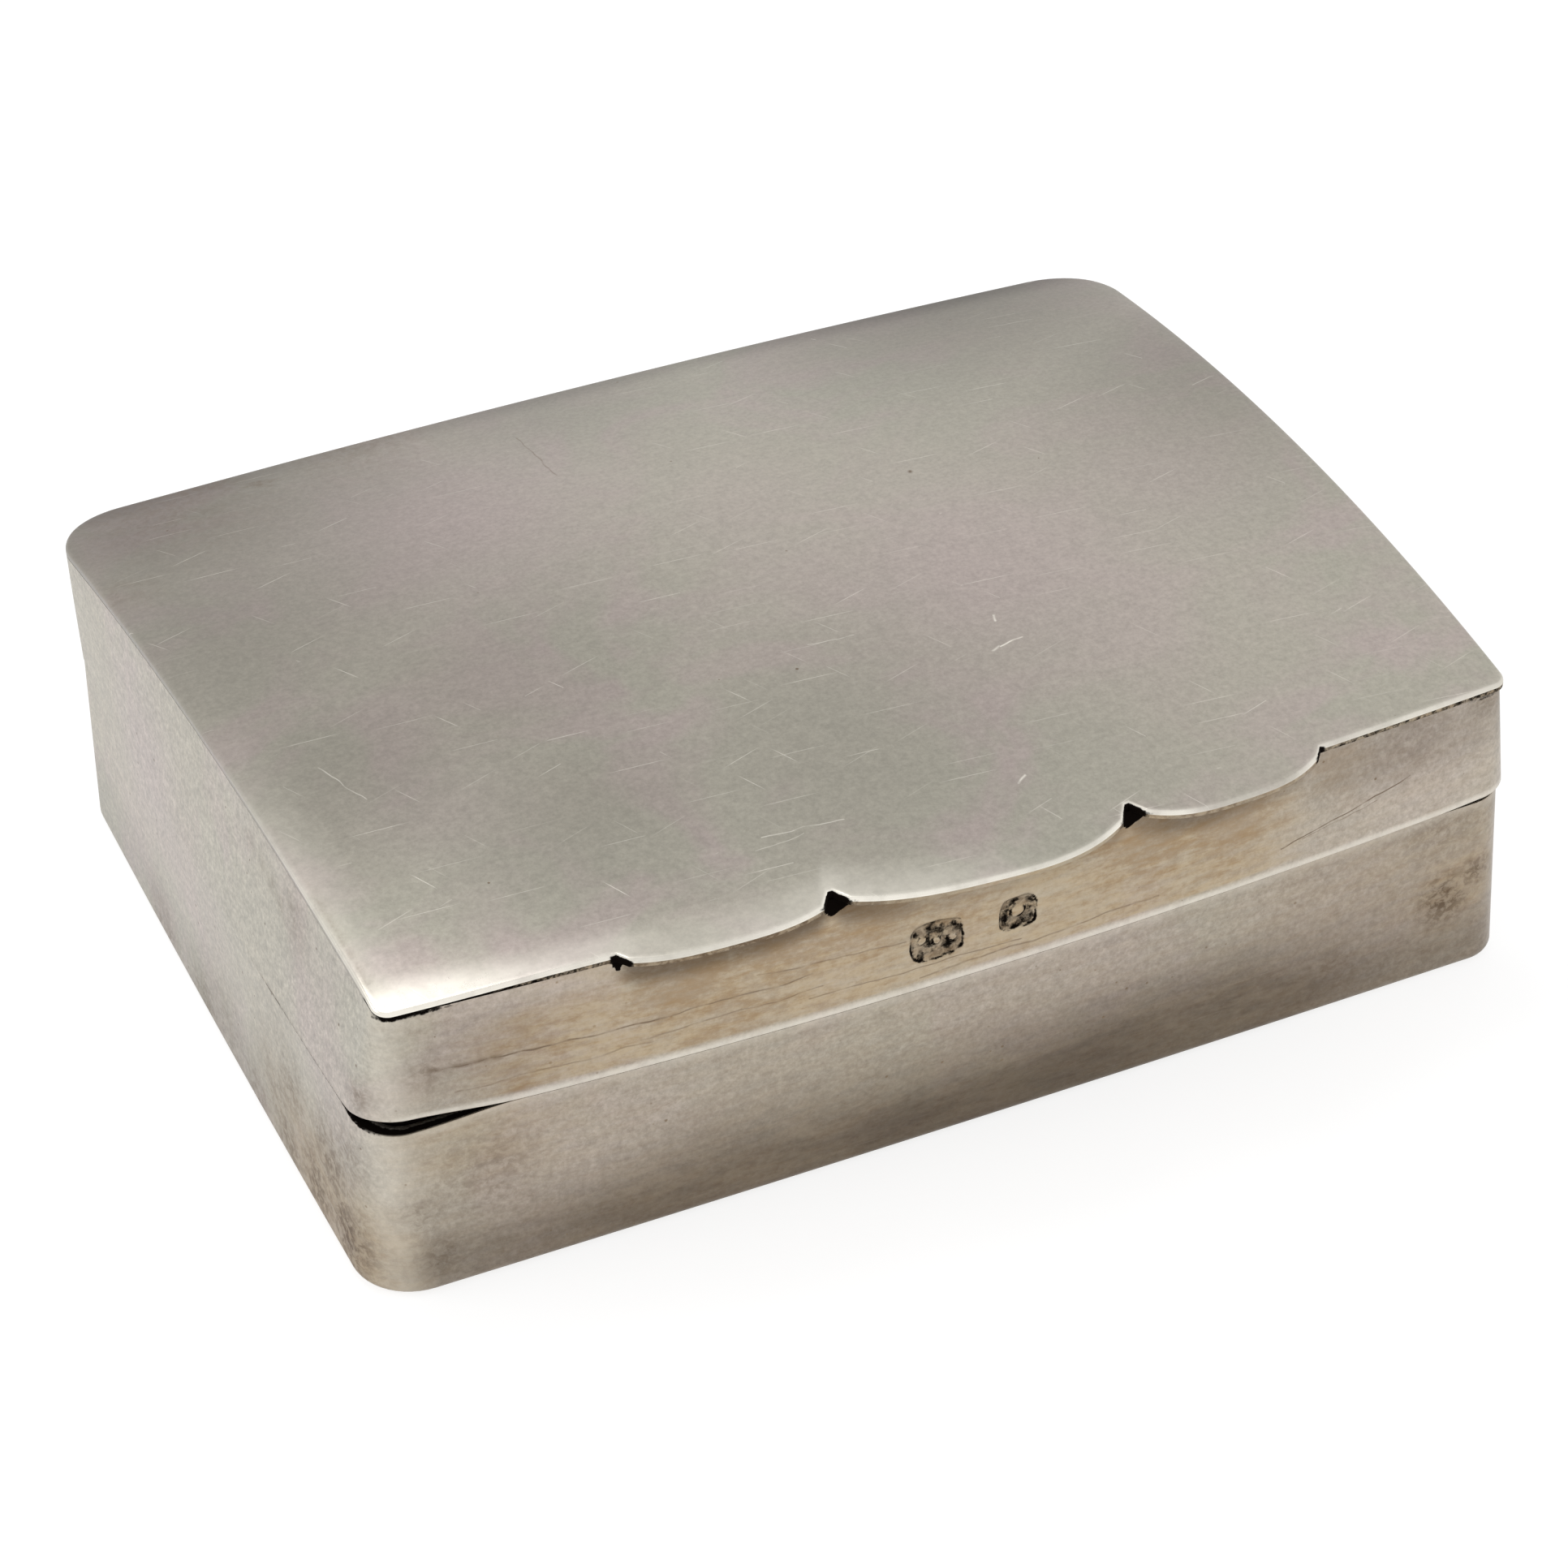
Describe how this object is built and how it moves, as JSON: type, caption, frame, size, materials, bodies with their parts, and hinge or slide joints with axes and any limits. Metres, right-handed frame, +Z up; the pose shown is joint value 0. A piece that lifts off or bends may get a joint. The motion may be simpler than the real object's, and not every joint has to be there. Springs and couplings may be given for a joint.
{
  "type": "snuff box",
  "caption": "Small silver snuff box with bowed walls, a domed hinged lid, a lobed thumb lip along its front edge and a knuckle hinge at the back.",
  "frame": {"origin": "middle of the underside of the base, on the surface that the box stands on", "axes": "+X along the front to the right, +Y towards the hinge at the back, +Z up"},
  "size_m": [0.0452, 0.0371, 0.0143],
  "materials": {
    "polished_silver": "worn satin silver, rubbed bright along its edges, with fine scratches",
    "toned_silver": "worn satin silver with a warm brown tone of tarnish",
    "dark_silver": "dull, darkened silver that polish doesn't reach"
  },
  "bodies": {
    "base": {"base_floor_plate": "toned_silver", "base_wall_band": "toned_silver", "base_bezel": "dark_silver", "base_hinge_bearer": "dark_silver", "base_knuckle_left": "dark_silver", "base_knuckle_centre": "dark_silver", "base_knuckle_right": "dark_silver", "hinge_pin": "dark_silver"},
    "lid": {"lid_top_plate": "polished_silver", "lid_wall_band": "toned_silver", "lid_hinge_bearer": "dark_silver", "lid_knuckle_left": "dark_silver", "lid_knuckle_right": "dark_silver"}
  },
  "joints": [
    {"name": "lid_hinge", "type": "hinge", "parent": "base", "child": "lid", "pos_m": [0, 0.0166, 0.00762], "axis": [-1, 0, 0], "range_deg": [0, 105]}
  ]
}
